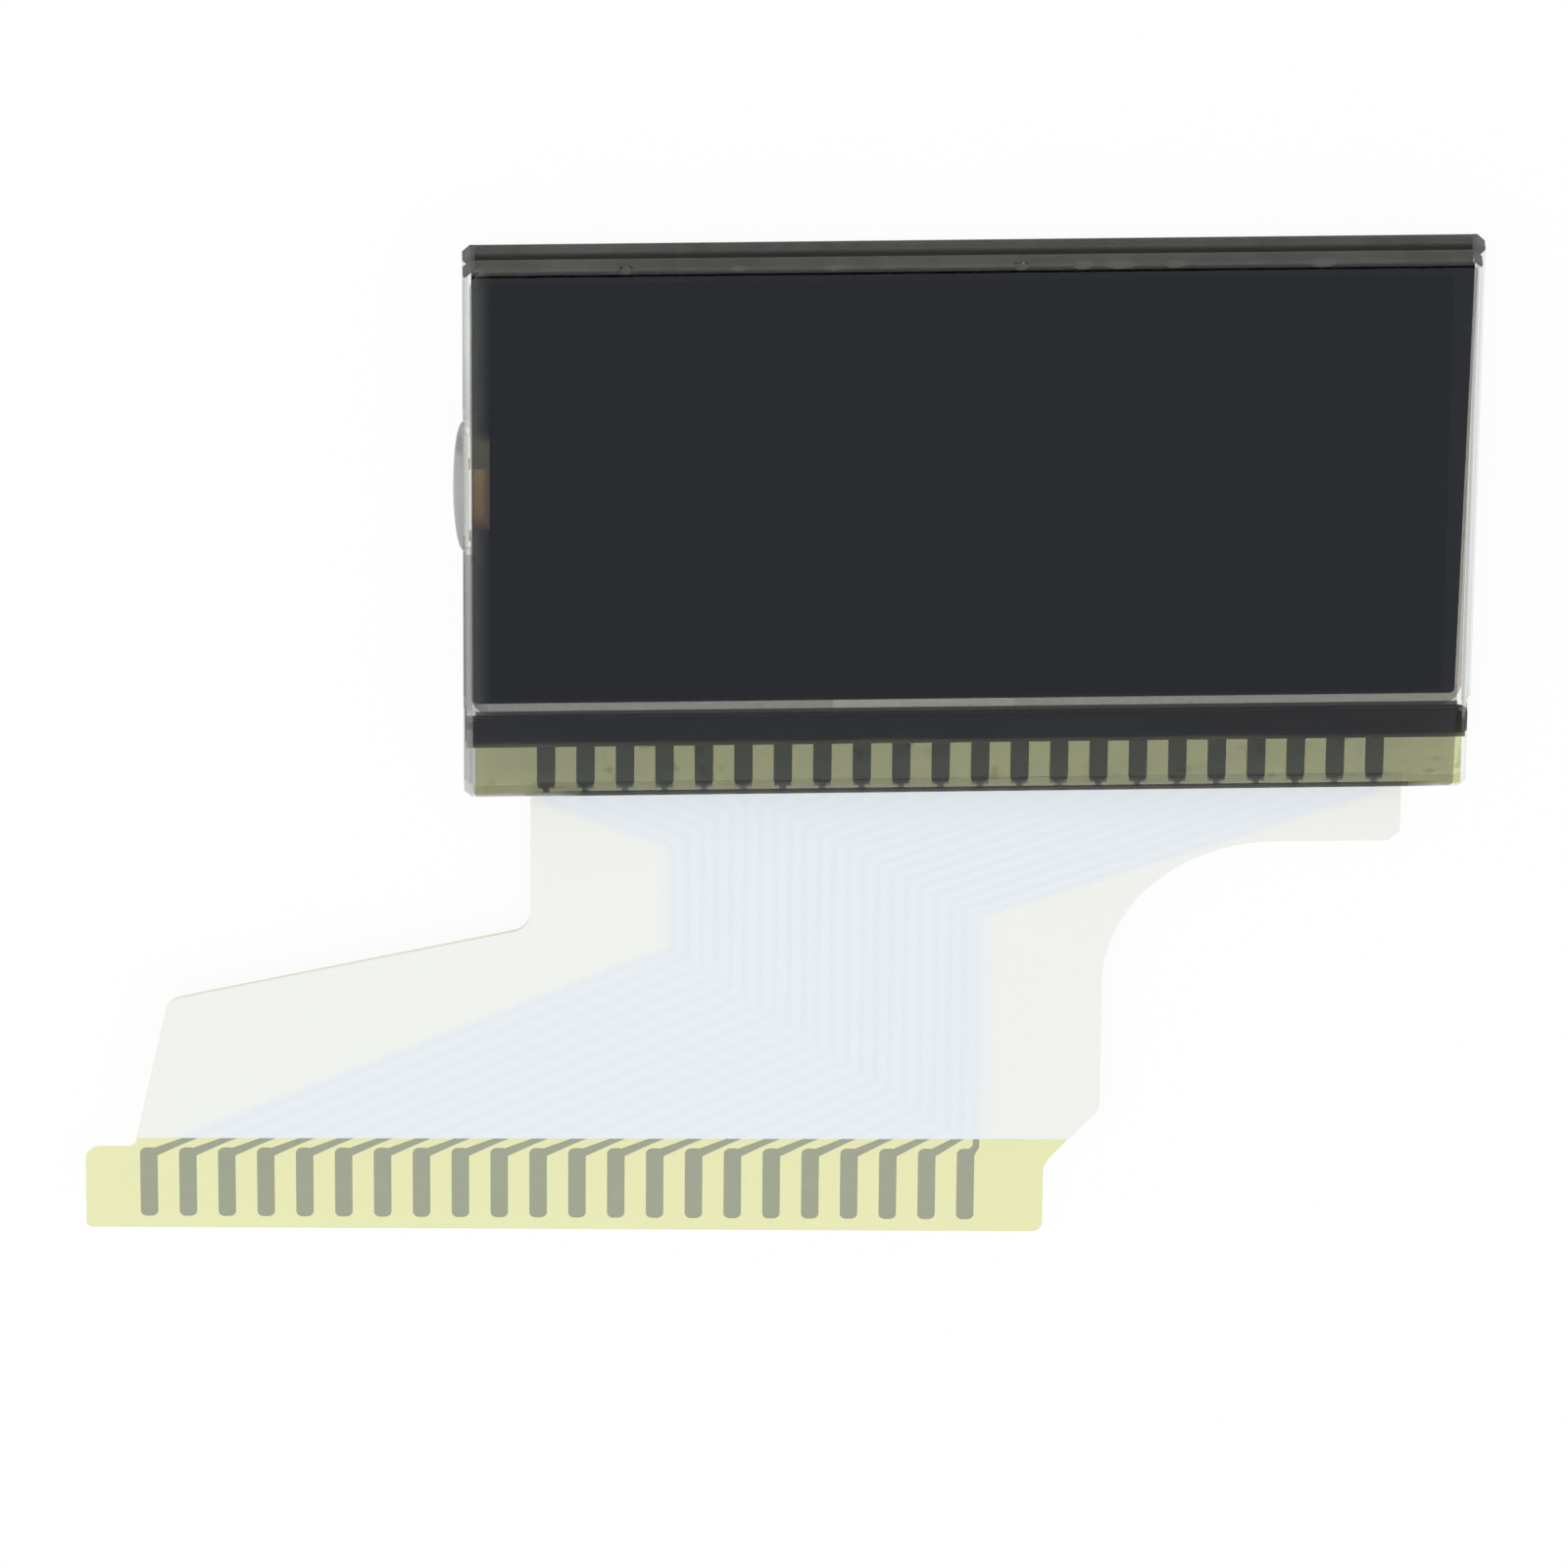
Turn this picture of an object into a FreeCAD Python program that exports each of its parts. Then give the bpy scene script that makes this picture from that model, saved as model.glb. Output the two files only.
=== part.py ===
# Flat glass display cell with a printed flexible ribbon, lying on its back with its front face up.
# Millimetres. The origin is on the back film, under the centre of the rear glass plate.
# +X runs to the right and +Y up as the display is read, and +Z points at the reader.
import FreeCAD, Part
import math
import os

Vector = FreeCAD.Vector
TOLERANCE = 1e-6

# Glass cell
GLASS_THICKNESS = 1.1
FRONT_WIDTH = 45.7
FRONT_HEIGHT = 28.8
LEDGE_LENGTH = 3.8
SIDE_OVERHANG = 0.2
CELL_GAP = 0.02
CORNER_CHAMFER = 0.35
INNER_BEVEL = 0.25
OUTER_BEVEL = 0.1

# Chips along the front top edge: distance from the left edge, half length, and reach over the face
CHIPS = (
    (7.3, 0.3, 0.3),
    (12.3, 0.5, 0.2),
    (16.6, 0.65, 0.2),
    (25.0, 0.35, 0.3),
    (27.75, 0.55, 0.28),
    (29.4, 0.95, 0.27),
    (31.9, 0.6, 0.26),
    (38.5, 0.72, 0.3),
)

# Perimeter seal, the fill port in its left side, and the drop of glue that closes the port
SEAL_INSET = 0.3
SEAL_WIDTH = 0.9
SEAL_CORNER_RADIUS = 1.2
PORT_CENTRE = 16.0
PORT_WIDTH = 3.3
PORT_LEG_WIDTH = 0.6
PLUG_SHIFT = 0.45
PLUG_LENGTH = 6.9
PLUG_PROUD = 0.45
PLUG_HEIGHT = 1.5

# Polarizing films, whose right edge is cut a little askew
POLARIZER_THICKNESS = 0.2
POLARIZER_LEFT_MARGIN = 0.4
POLARIZER_TOP_MARGIN = 0.3
POLARIZER_FOOT_MARGIN = 0.25
POLARIZER_RIGHT_MARGIN = 0.25
POLARIZER_RIGHT_SLANT = 0.0125
POLARIZER_CORNER_RADIUS = 0.25
REAR_POLARIZER_FOOT_MARGIN = 0.53
FILM_BOND_LINE = 0.005

# Sealant bead in the step behind the ledge
BEAD_REACH = 1.45
BEAD_DEPTH = 0.85
BEAD_BULGE = 0.3
BEAD_END_CLEARANCE = 0.08
BEAD_SPILL = 0.06
BEAD_END_RADIUS = 0.45
BEAD_FILM_CLEARANCE = 0.05

# Ribbon layers
BASE_FILM_THICKNESS = 0.1
CONDUCTOR_THICKNESS = 0.035
COVERLAY_THICKNESS = 0.025
ADHESIVE_COVER = 0.01
LEDGE_CLEARANCE = 0.005

# Contacts
CONTACT_COUNT = 22
CONTACT_PITCH = 1.8
CONTACT_ROW_SHIFT = -0.21
TRACE_WIDTH = 0.3
LEDGE_PAD_WIDTH = 0.84
LEDGE_PAD_LENGTH = 2.2
TAIL_PAD_WIDTH = 0.81
TAIL_PAD_LENGTH = 3.95
PAD_END_RADIUS = 0.3
TAPER_WIDTH = 0.45
TAPER_LENGTH = 1.5
TAIL_ROW_SHIFT = 18.36

# Route of the conductors
FAN_START = 1.0
LEFT_FAN_SLOPE = 0.45
RIGHT_FAN_SLOPE = 0.375
BUNDLE_START = 5.8
BUNDLE_PITCH = 0.672
TAIL_FAN_SLOPE = 0.458

# Ribbon outline
BOND_OVERLAP = 2.3
EAR_MARGIN_LEFT = 0.5
EAR_MARGIN_RIGHT = 0.2
EAR_FOOT = 0.3
NECK_MARGIN_LEFT = 0.7
NECK_MARGIN_RIGHT = 1.3
NECK_LENGTH = 8.1
SHOULDER_SLOPE = 0.24
SHOULDER_INSET = 1.02
FLANK_LEAN = 0.195
TAB_LENGTH = 3.6
TAB_CHAMFER = 0.5
WAIST_MARGIN = 6.15
WAIST_ARC_RADIUS = 7.75
HIP_RISE = 3.1
HIP_DROP = 0.86
TAIL_MARGIN_LEFT = 2.92
TAIL_MARGIN_RIGHT = 3.6
TAIL_BAND_HEIGHT = 4.67
TAIL_FOOT_MARGIN = 0.68
TAIL_REACH = 25.26
TAIL_SKEW = 0.0215
COVERLAY_OVERLAP = 0.36
COVERLAY_TAIL_GAP = 0.6
NECK_CORNER_RADIUS = 1.0
SHOULDER_RADIUS = 0.9
HIP_RADIUS = 0.7
HIP_FOOT_RADIUS = 1.5
TAIL_TOP_RADIUS = 0.75
TAIL_FOOT_RADIUS = 0.5
SMALL_RADIUS = 0.3

# Clear adhesive squeezed out at the ends of the bond, measured from the first and last contacts
SQUEEZE_HEIGHT = 0.5
SQUEEZE_PAST_FIRST = 1.8
SQUEEZE_PAST_LAST = 1.5

# Levels
Z_REAR_BACK = POLARIZER_THICKNESS + FILM_BOND_LINE
Z_REAR_FRONT = Z_REAR_BACK + GLASS_THICKNESS
Z_LEDGE = Z_REAR_FRONT + CELL_GAP
Z_FACE = Z_LEDGE + GLASS_THICKNESS
Z_COVERLAY_TOP = Z_LEDGE - LEDGE_CLEARANCE
Z_COVERLAY_BACK = Z_COVERLAY_TOP - COVERLAY_THICKNESS
Z_CONDUCTOR_TOP = Z_COVERLAY_BACK - ADHESIVE_COVER
Z_FILM_TOP = Z_CONDUCTOR_TOP - CONDUCTOR_THICKNESS
Z_FILM_BACK = Z_FILM_TOP - BASE_FILM_THICKNESS

# Edges of the plates
REAR_WIDTH = FRONT_WIDTH + SIDE_OVERHANG
REAR_HEIGHT = FRONT_HEIGHT - LEDGE_LENGTH
LEFT = -REAR_WIDTH / 2
RIGHT = LEFT + FRONT_WIDTH
TOP = REAR_HEIGHT / 2
STEP = -REAR_HEIGHT / 2
FOOT = STEP - LEDGE_LENGTH

# Rows of contacts
CONTACT_SPAN = (CONTACT_COUNT - 1) * CONTACT_PITCH
LEDGE_ROW_START = (LEFT + RIGHT - CONTACT_SPAN) / 2 + CONTACT_ROW_SHIFT
LEDGE_ROW_END = LEDGE_ROW_START + CONTACT_SPAN
TAIL_ROW_START = LEDGE_ROW_START - TAIL_ROW_SHIFT
TAIL_ROW_END = TAIL_ROW_START + CONTACT_SPAN

# Edges of the ribbon
EAR_LEFT = LEFT + EAR_MARGIN_LEFT
EAR_RIGHT = RIGHT - EAR_MARGIN_RIGHT
EAR_LEVEL = FOOT - EAR_FOOT
NECK_LEFT = LEDGE_ROW_START - NECK_MARGIN_LEFT
NECK_RIGHT = LEDGE_ROW_END + NECK_MARGIN_RIGHT
TAIL_LEFT = TAIL_ROW_START - TAIL_MARGIN_LEFT
TAIL_RIGHT = TAIL_ROW_END + TAIL_MARGIN_RIGHT
TAIL_FOOT = FOOT - TAIL_REACH
TAIL_BAND_TOP = TAIL_FOOT + TAIL_BAND_HEIGHT
TAIL_PAD_FOOT = TAIL_FOOT + TAIL_FOOT_MARGIN
TAIL_PAD_TOP = TAIL_PAD_FOOT + TAIL_PAD_LENGTH
COVERLAY_FOOT = TAIL_PAD_TOP + COVERLAY_TAIL_GAP
COVERLAY_HEAD = FOOT + COVERLAY_OVERLAP
FILM_HEAD = FOOT + BOND_OVERLAP


def box(x0, x1, y0, y1, z0, z1):
    return Part.makeBox(x1 - x0, y1 - y0, z1 - z0, Vector(x0, y0, z0))


def rounded_wire(corners, z):
    """Closed outline through (x, y, radius) corners, each rounded by a tangent arc."""
    count = len(corners)
    spans = []
    for i, (x, y, radius) in enumerate(corners):
        here = Vector(x, y, z)
        before = Vector(corners[i - 1][0], corners[i - 1][1], z)
        after = Vector(corners[(i + 1) % count][0], corners[(i + 1) % count][1], z)
        back = (before - here).normalize()
        ahead = (after - here).normalize()
        half = back.getAngle(ahead) / 2
        if radius == 0:
            spans.append((here, None, here))
            continue
        reach = radius / math.tan(half)
        middle = here + (back + ahead).normalize() * (radius / math.sin(half) - radius)
        spans.append((here + back * reach, middle, here + ahead * reach))
    edges = []
    for i, (start, middle, end) in enumerate(spans):
        if middle is not None:
            edges.append(Part.Arc(start, middle, end).toShape())
        following = spans[(i + 1) % count][0]
        if end.distanceToPoint(following) > TOLERANCE:
            edges.append(Part.LineSegment(end, following).toShape())
    return Part.Wire(edges)


def slab(corners, z0, z1):
    return Part.Face(rounded_wire(corners, z0)).extrude(Vector(0, 0, z1 - z0))


def rectangle(x0, x1, y0, y1, foot_radius=0, top_radius=0):
    return [(x0, y0, foot_radius), (x1, y0, foot_radius), (x1, y1, top_radius), (x0, y1, top_radius)]


def level_edges(shape, z):
    """Straight edges that lie at one height."""
    return [e for e in shape.Edges if all(abs(v.Z - z) < TOLERANCE for v in e.Vertexes)]


def upright_edges(shape, x, y):
    """Edges that stand at one point of the plan."""
    return [e for e in shape.Edges if all(math.hypot(v.X - x, v.Y - y) < TOLERANCE for v in e.Vertexes)]


def askew(x, y):
    """Height in plan of a ribbon point: below the glass the film runs down a little towards the right."""
    share = max(0, EAR_LEVEL - y) / (EAR_LEVEL - TAIL_FOOT)
    return y - share * TAIL_SKEW * (x - LEDGE_ROW_START)


def plate(x0, x1, y0, y1, z0, inner_z):
    """A cut glass plate with clipped corners and ground edges, wider on the side that faces the cell."""
    body = box(x0, x1, y0, y1, z0, z0 + GLASS_THICKNESS)
    corners = [(x, y) for x in (x0, x1) for y in (y0, y1)]
    uprights = [edge for x, y in corners for edge in upright_edges(body, x, y)]
    body = body.makeChamfer(CORNER_CHAMFER, uprights)
    outer_z = z0 if inner_z > z0 else z0 + GLASS_THICKNESS
    body = body.makeChamfer(INNER_BEVEL, level_edges(body, inner_z))
    return body.makeChamfer(OUTER_BEVEL, level_edges(body, outer_z))


def rear_glass():
    return plate(LEFT, LEFT + REAR_WIDTH, STEP, TOP, Z_REAR_BACK, Z_REAR_FRONT)


def front_glass():
    body = plate(LEFT, RIGHT, FOOT, TOP, Z_LEDGE, Z_LEDGE)
    for along, half_length, reach in CHIPS:
        offset = (half_length**2 - reach**2) / (2 * reach)
        radius = math.hypot(half_length, math.sqrt(2) * offset)
        centre = Vector(LEFT + along, TOP + offset, Z_FACE + offset)
        body = body.cut(Part.makeSphere(radius, centre))
    return body


def perimeter_seal():
    """Printed seal ring with two short legs that lead the fill port out to the plate edge."""
    x0, x1 = LEFT + SEAL_INSET, RIGHT - SEAL_INSET
    y0, y1 = STEP + SEAL_INSET, TOP - SEAL_INSET
    outline = rectangle(x0, x1, y0, y1, SEAL_CORNER_RADIUS, SEAL_CORNER_RADIUS)
    ring = slab(outline, Z_REAR_FRONT, Z_LEDGE).cut(liquid_crystal())
    port_low, port_high = port_ends()
    for low, high in ((port_low - PORT_LEG_WIDTH, port_low), (port_high, port_high + PORT_LEG_WIDTH)):
        ring = ring.fuse(box(LEFT + INNER_BEVEL, x0 + SEAL_WIDTH, low, high, Z_REAR_FRONT, Z_LEDGE))
    ring = ring.cut(box(LEFT, x0 + SEAL_WIDTH, port_low, port_high, Z_REAR_FRONT, Z_LEDGE))
    return ring.removeSplitter()


def port_ends():
    centre = FOOT + PORT_CENTRE
    return centre - PORT_WIDTH / 2, centre + PORT_WIDTH / 2


def liquid_crystal():
    inset = SEAL_INSET + SEAL_WIDTH
    radius = SEAL_CORNER_RADIUS - SEAL_WIDTH
    outline = rectangle(LEFT + inset, RIGHT - inset, STEP + inset, TOP - inset, radius, radius)
    return slab(outline, Z_REAR_FRONT, Z_LEDGE)


def end_seal_plug(plates, seal):
    """Drop of cured glue over the fill port, with a tongue that fills the port."""
    port_low, port_high = port_ends()
    middle_z = (Z_REAR_FRONT + Z_LEDGE) / 2
    drop = Part.makeSphere(1.0)
    stretch = FreeCAD.Matrix()
    stretch.scale(PLUG_PROUD, PLUG_LENGTH / 2, PLUG_HEIGHT / 2)
    drop = drop.transformGeometry(stretch)
    drop.translate(Vector(LEFT, FOOT + PORT_CENTRE + PLUG_SHIFT, middle_z))
    inner_end = LEFT + SEAL_INSET + SEAL_WIDTH
    tongue = box(LEFT, inner_end, port_low, port_high, Z_REAR_FRONT, Z_LEDGE)
    outside = box(LEFT - 2 * PLUG_PROUD, LEFT + INNER_BEVEL, FOOT, TOP, 0, Z_FACE)
    drop = drop.common(outside).cut(plates[0]).cut(plates[1])
    return drop.fuse(tongue).cut(seal).removeSplitter()


def polarizer(foot, z0):
    left = LEFT + POLARIZER_LEFT_MARGIN
    top = TOP - POLARIZER_TOP_MARGIN
    right_top = RIGHT - POLARIZER_RIGHT_MARGIN
    right_foot = right_top - POLARIZER_RIGHT_SLANT * (top - foot)
    r = POLARIZER_CORNER_RADIUS
    outline = [(left, foot, r), (right_foot, foot, r), (right_top, top, r), (left, top, r)]
    return slab(outline, z0, z0 + POLARIZER_THICKNESS)


def step_sealant():
    """Bead that fills the corner between the ledge and the rear plate."""
    reach = min(BEAD_REACH, STEP - FILM_HEAD - BEAD_FILM_CLEARANCE)
    x0 = LEFT + BEAD_END_CLEARANCE
    x1 = RIGHT + BEAD_SPILL
    high = Vector(x0, STEP, Z_LEDGE)
    low = Vector(x0, STEP, Z_LEDGE - BEAD_DEPTH)
    tip = Vector(x0, STEP - reach, Z_LEDGE)
    across = (low + tip) / 2
    outward = Vector(0, -BEAD_DEPTH, -reach).normalize()
    curve = Part.Arc(low, across + outward * BEAD_BULGE, tip).toShape()
    sides = [Part.LineSegment(tip, high).toShape(), Part.LineSegment(high, low).toShape()]
    body = Part.Face(Part.Wire([curve] + sides)).extrude(Vector(x1 - x0, 0, 0))
    return body.makeFillet(BEAD_END_RADIUS, upright_edges(body, x1, STEP))


def film_outline():
    waist = TAIL_ROW_END + WAIST_MARGIN
    tab_foot = FOOT - TAB_LENGTH
    neck_foot = FOOT - NECK_LENGTH
    shoulder_x = TAIL_ROW_START + SHOULDER_INSET
    shoulder_y = neck_foot - SHOULDER_SLOPE * (NECK_LEFT - shoulder_x)
    flank_x = shoulder_x - FLANK_LEAN * (shoulder_y - TAIL_BAND_TOP)
    hip_foot = TAIL_BAND_TOP - HIP_DROP
    r = SMALL_RADIUS
    corners = [
        (EAR_LEFT, FILM_HEAD, 0),
        (EAR_LEFT, EAR_LEVEL, 0),
        (NECK_LEFT, EAR_LEVEL, r),
        (NECK_LEFT, neck_foot, NECK_CORNER_RADIUS),
        (shoulder_x, shoulder_y, SHOULDER_RADIUS),
        (flank_x, TAIL_BAND_TOP, r),
        (TAIL_LEFT, TAIL_BAND_TOP, TAIL_TOP_RADIUS),
        (TAIL_LEFT, TAIL_FOOT, r),
        (TAIL_RIGHT, TAIL_FOOT, TAIL_FOOT_RADIUS),
        (TAIL_RIGHT, hip_foot, HIP_FOOT_RADIUS),
        (waist, hip_foot + HIP_RISE, HIP_RADIUS),
        (waist, tab_foot, WAIST_ARC_RADIUS),
        (NECK_RIGHT - TAB_CHAMFER, tab_foot, 0),
        (NECK_RIGHT, tab_foot + TAB_CHAMFER, 0),
        (NECK_RIGHT, EAR_LEVEL, r),
        (EAR_RIGHT, EAR_LEVEL, 0),
        (EAR_RIGHT, FILM_HEAD, 0),
    ]
    return [(x, askew(x, y), radius) for x, y, radius in corners]


def ribbon_base_film():
    return slab(film_outline(), Z_FILM_BACK, Z_FILM_TOP)


def coverlay_layer(z0, z1):
    """A layer over the film, from just under the glass edge down to the bare tail."""
    below = rectangle(TAIL_LEFT, RIGHT, COVERLAY_FOOT, EAR_LEVEL)
    below = slab([(x, askew(x, y), radius) for x, y, radius in below], z0, z1)
    head = box(NECK_LEFT, NECK_RIGHT, EAR_LEVEL, COVERLAY_HEAD, z0, z1)
    return slab(film_outline(), z0, z1).common(below.fuse(head)).removeSplitter()


def stroke(points, widths):
    """Outline of a band along a line, with a width at each point."""
    left, right = [], []
    for i, point in enumerate(points):
        before = points[max(i - 1, 0)]
        after = points[min(i + 1, len(points) - 1)]
        into = (point - before).normalize() if i > 0 else (after - point).normalize()
        out = (after - point).normalize() if i < len(points) - 1 else into
        across = Vector(-into.y - out.y, into.x + out.x, 0).normalize()
        share = across.dot(Vector(-into.y, into.x, 0))
        shift = across * (widths[i] / 2 / share)
        left.append(point + shift)
        right.append(point - shift)
    ring = left + right[::-1]
    return Part.Face(Part.makePolygon(ring + ring[:1]))


def conductor(index):
    """One printed conductor: a pad on the ledge, its trace, and a pad on the tail."""
    z = Z_FILM_TOP
    ledge_x = LEDGE_ROW_START + index * CONTACT_PITCH
    tail_x = TAIL_ROW_START + index * CONTACT_PITCH
    bundle_x = LEDGE_ROW_START + BUNDLE_START + index * BUNDLE_PITCH
    join_x = tail_x + (TAIL_PAD_WIDTH - TAPER_WIDTH) / 2
    run = bundle_x - ledge_x
    fan_y = FOOT - FAN_START
    slope = LEFT_FAN_SLOPE if run > 0 else RIGHT_FAN_SLOPE
    ledge_foot = FILM_HEAD - LEDGE_PAD_LENGTH
    tail_foot = askew(tail_x, TAIL_PAD_FOOT)
    tail_top = askew(tail_x, TAIL_PAD_TOP)
    points = [
        Vector(ledge_x, ledge_foot + PAD_END_RADIUS, z),
        Vector(ledge_x, fan_y, z),
        Vector(bundle_x, fan_y - slope * abs(run), z),
        Vector(bundle_x, tail_top + TAIL_FAN_SLOPE * (bundle_x - join_x), z),
        Vector(join_x, tail_top - PAD_END_RADIUS, z),
    ]
    lift = Vector(0, 0, CONDUCTOR_THICKNESS)
    body = stroke(points, [TRACE_WIDTH] * len(points)).extrude(lift)
    toward = (points[3] - points[4]).normalize()
    taper = [points[4], points[4] + toward * min(TAPER_LENGTH, points[3].distanceToPoint(points[4]))]
    body = body.fuse(stroke(taper, [TAPER_WIDTH, TRACE_WIDTH]).extrude(lift))
    r = PAD_END_RADIUS
    half = LEDGE_PAD_WIDTH / 2
    pads = [rectangle(ledge_x - half, ledge_x + half, ledge_foot, FILM_HEAD, r)]
    half = TAIL_PAD_WIDTH / 2
    pads.append(rectangle(tail_x - half, tail_x + half, tail_foot, tail_top, r, r))
    for outline in pads:
        body = body.fuse(slab(outline, z, z + CONDUCTOR_THICKNESS))
    return body.removeSplitter()


def bond_adhesive(conductors, covers):
    """Adhesive strip between the ribbon's contacts and the ledge."""
    strip = box(EAR_LEFT, EAR_RIGHT, FOOT + INNER_BEVEL, FILM_HEAD, Z_FILM_TOP, Z_LEDGE)
    return strip.cut(conductors + covers)


def squeeze_out(x0, x1, glass, others):
    """Clear adhesive that wets the glass edge at one end of the bond."""
    z0 = Z_FILM_TOP
    profile = [
        Vector(x0, EAR_LEVEL, z0),
        Vector(x0, FOOT + INNER_BEVEL, z0),
        Vector(x0, FOOT + INNER_BEVEL, z0 + SQUEEZE_HEIGHT),
        Vector(x0, FOOT, z0 + SQUEEZE_HEIGHT),
    ]
    wedge = Part.Face(Part.makePolygon(profile + profile[:1])).extrude(Vector(x1 - x0, 0, 0))
    return wedge.cut([glass] + others)


def build():
    rear = rear_glass()
    front = front_glass()
    seal = perimeter_seal()
    conductors = [conductor(i) for i in range(CONTACT_COUNT)]
    covers = [
        coverlay_layer(Z_FILM_TOP, Z_COVERLAY_BACK).cut(conductors),
        coverlay_layer(Z_COVERLAY_BACK, Z_COVERLAY_TOP),
    ]
    bond = bond_adhesive(conductors, covers)
    around = [bond] + covers + conductors
    left_squeeze_end = LEDGE_ROW_START + SQUEEZE_PAST_FIRST
    right_squeeze_start = LEDGE_ROW_END + SQUEEZE_PAST_LAST
    parts = {
        "front_glass": front,
        "rear_glass": rear,
        "perimeter_seal": seal,
        "liquid_crystal": liquid_crystal(),
        "end_seal_plug": end_seal_plug((front, rear), seal),
        "front_polarizer": polarizer(FOOT + POLARIZER_FOOT_MARGIN, Z_FACE + FILM_BOND_LINE),
        "rear_polarizer": polarizer(STEP + REAR_POLARIZER_FOOT_MARGIN, 0),
        "step_sealant": step_sealant(),
        "ribbon_base_film": ribbon_base_film(),
        "coverlay_adhesive": covers[0],
        "coverlay_film": covers[1],
        "bond_adhesive": bond,
        "bond_squeeze_left": squeeze_out(EAR_LEFT, left_squeeze_end, front, around),
        "bond_squeeze_right": squeeze_out(right_squeeze_start, EAR_RIGHT, front, around),
    }
    for i, shape in enumerate(conductors):
        parts[f"conductor_{i + 1:02d}"] = shape
    return parts


def main():
    os.makedirs("parts", exist_ok=True)
    for name, shape in build().items():
        print(name, len(shape.Solids), "solids", shape.isValid(), round(shape.Volume, 4))
        shape.exportStep(f"parts/{name}.step")


main()
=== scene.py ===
import math
from collections import namedtuple

import bpy
from mathutils import Matrix, Vector


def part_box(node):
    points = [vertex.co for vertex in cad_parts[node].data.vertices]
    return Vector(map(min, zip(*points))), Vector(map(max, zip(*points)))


MM = 0.001

# Viewpoint of the photograph: far off with a long lens, leaning towards the glass's top edge
CAMERA_LEAN = 35.0
CAMERA_TURN = -1.67
CAMERA_ROLL = -0.50
CAMERA_DISTANCE = 864.2 * MM
CAMERA_LENS = 433.8
CAMERA_AIM = Vector((-8.29, -17.40, 0.0)) * MM

# Light
WORLD_STRENGTH = 0.78
FLOOR_SIZE = 3.0
FLOOR_DROP = 0.01 * MM
FLOOR_GLOW = 0.94

# Size of the surface normal along one axis that parts flat faces, rims and end faces
FLAT_NORMAL = 0.825
FLAT_INK_NORMAL = 0.8
RIM_NORMAL = 0.5
END_NORMAL = 0.3
CHIP_NORMAL = 0.2

# Optics of the cell
REFRACTIVE_INDEX = 1.52
FRONT_FILM_PASS = 0.72
FRONT_FILM_INDEX = 1.47
FRONT_FILM_SKIN = 0.02 * MM
INNER_FACE_REACH = 0.05 * MM

# Reach of the painted shade in the groove between the plates, each side of the cell's middle
SEAM_DARK = 0.16 * MM
SEAM_CLEAR = 0.32 * MM

# Chips are the cut places deeper than the outer bevel
CHIP_DEPTH = 0.015 * MM
CHIP_BEVEL = 0.115 * MM
CHIP_REACH = 0.6 * MM

# Clipped corners start this far inside the ends of the films
CORNER_REACH = 0.15 * MM

# Share of light that the ground edges let past
DULL_SIDE_PASS = 0.65
CLEAR_SIDE_PASS = 0.88
GLUED_SIDE_PASS = 0.96
RIGHT_SIDE_PASS = 0.97
DRY_FOOT_PASS = 0.12
WET_FOOT_PASS = 0.9
FOOT_CORNER_PASS = 0.93
TOP_PASS = 0.5
CHIP_PASS = 0.4
TOP_CORNER_PASS = 0.03

# Where the squeezed-out adhesive wets the foot edge, from the drops inwards and outwards
WET_LEFT_REACH = 1.6 * MM
WET_RIGHT_OUT = 0.4 * MM
WET_RIGHT_IN = 1.4 * MM

# The left margin is dull towards the foot and clear towards the top
DULL_BELOW = -6.0 * MM
CLEAR_ABOVE = 8.0 * MM

# Share of dull grey on the bare margins
HAZE_LEFT_FOOT = 0.36
HAZE_LEFT_HEAD = 0.03
HAZE_LEDGE = 0.6
HAZE_RIGHT = 0.42
HAZE_RIGHT_REACH = 0.2 * MM
HAZE_TOP = 0.08

# Seal: hazy on the left as far as it fades, and stained beside the port
SEAL_HAZY = 0.34
SEAL_CLEAR_SHARE = 0.04
SEAL_FADE_START = 0.5 * MM
SEAL_FADE_END = 1.15 * MM
STAIN_SHARE = 0.3
STAIN_LENGTH = 2.0 * MM
STAIN_FULL = 0.7
STAIN_REACH = 1.5 * MM

# Fill port, measured from the ends of the glue drop, and depths into it from the plate's edge
PORT_FROM_FOOT = 1.35 * MM
PORT_FROM_HEAD = 2.25 * MM
PORT_SHADE_LENGTH = 0.9 * MM
AMBER_START = 0.35 * MM
AMBER_FULL = 0.5 * MM
AMBER_FADE_START = 0.8 * MM
AMBER_FADE_END = 1.2 * MM

# Painted highlight (the glint) and a darker spot on the proud part of the glue drop
GLINT_CORE = 0.4 * MM
GLINT_REACH = 1.7 * MM
DARK_SPOT_FROM_HEAD = 0.9 * MM
DARK_SPOT_CORE = 0.25 * MM
DARK_SPOT_REACH = 0.65 * MM

# Sealant bead, measured from its tip
BEAD_THIN = 0.05 * MM
BEAD_FULL = 0.5 * MM
BEAD_WAVE = 0.3 * MM

# Contacts, and the painted reflection of the ledge pads between them and the foot of the glass
CONTACT_COUNT = 22
CONTACT_PITCH = 1.8 * MM
PAD_HALF = 0.42 * MM
INK_FACE_REACH = 0.003 * MM
PAD_IMAGE_LENGTH = 0.6 * MM
PAD_IMAGE_BORDER = 0.05 * MM
PAD_IMAGE_SHARE = 0.62

# Conductors under the cover film
TRACE_HALF = 0.15 * MM
BUNDLE_WIDTH = 14.11 * MM
FAN_DROP = 1.0 * MM
LEFT_FAN_SLOPE = 0.45
RIGHT_FAN_SLOPE = 0.375
TAIL_FAN_SLOPE = 0.458
TAIL_FAN_OFFSET = 8.0 * MM
ZONE_BORDER_OUT = 0.9 * MM
ZONE_BORDER_IN = 0.3 * MM

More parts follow.
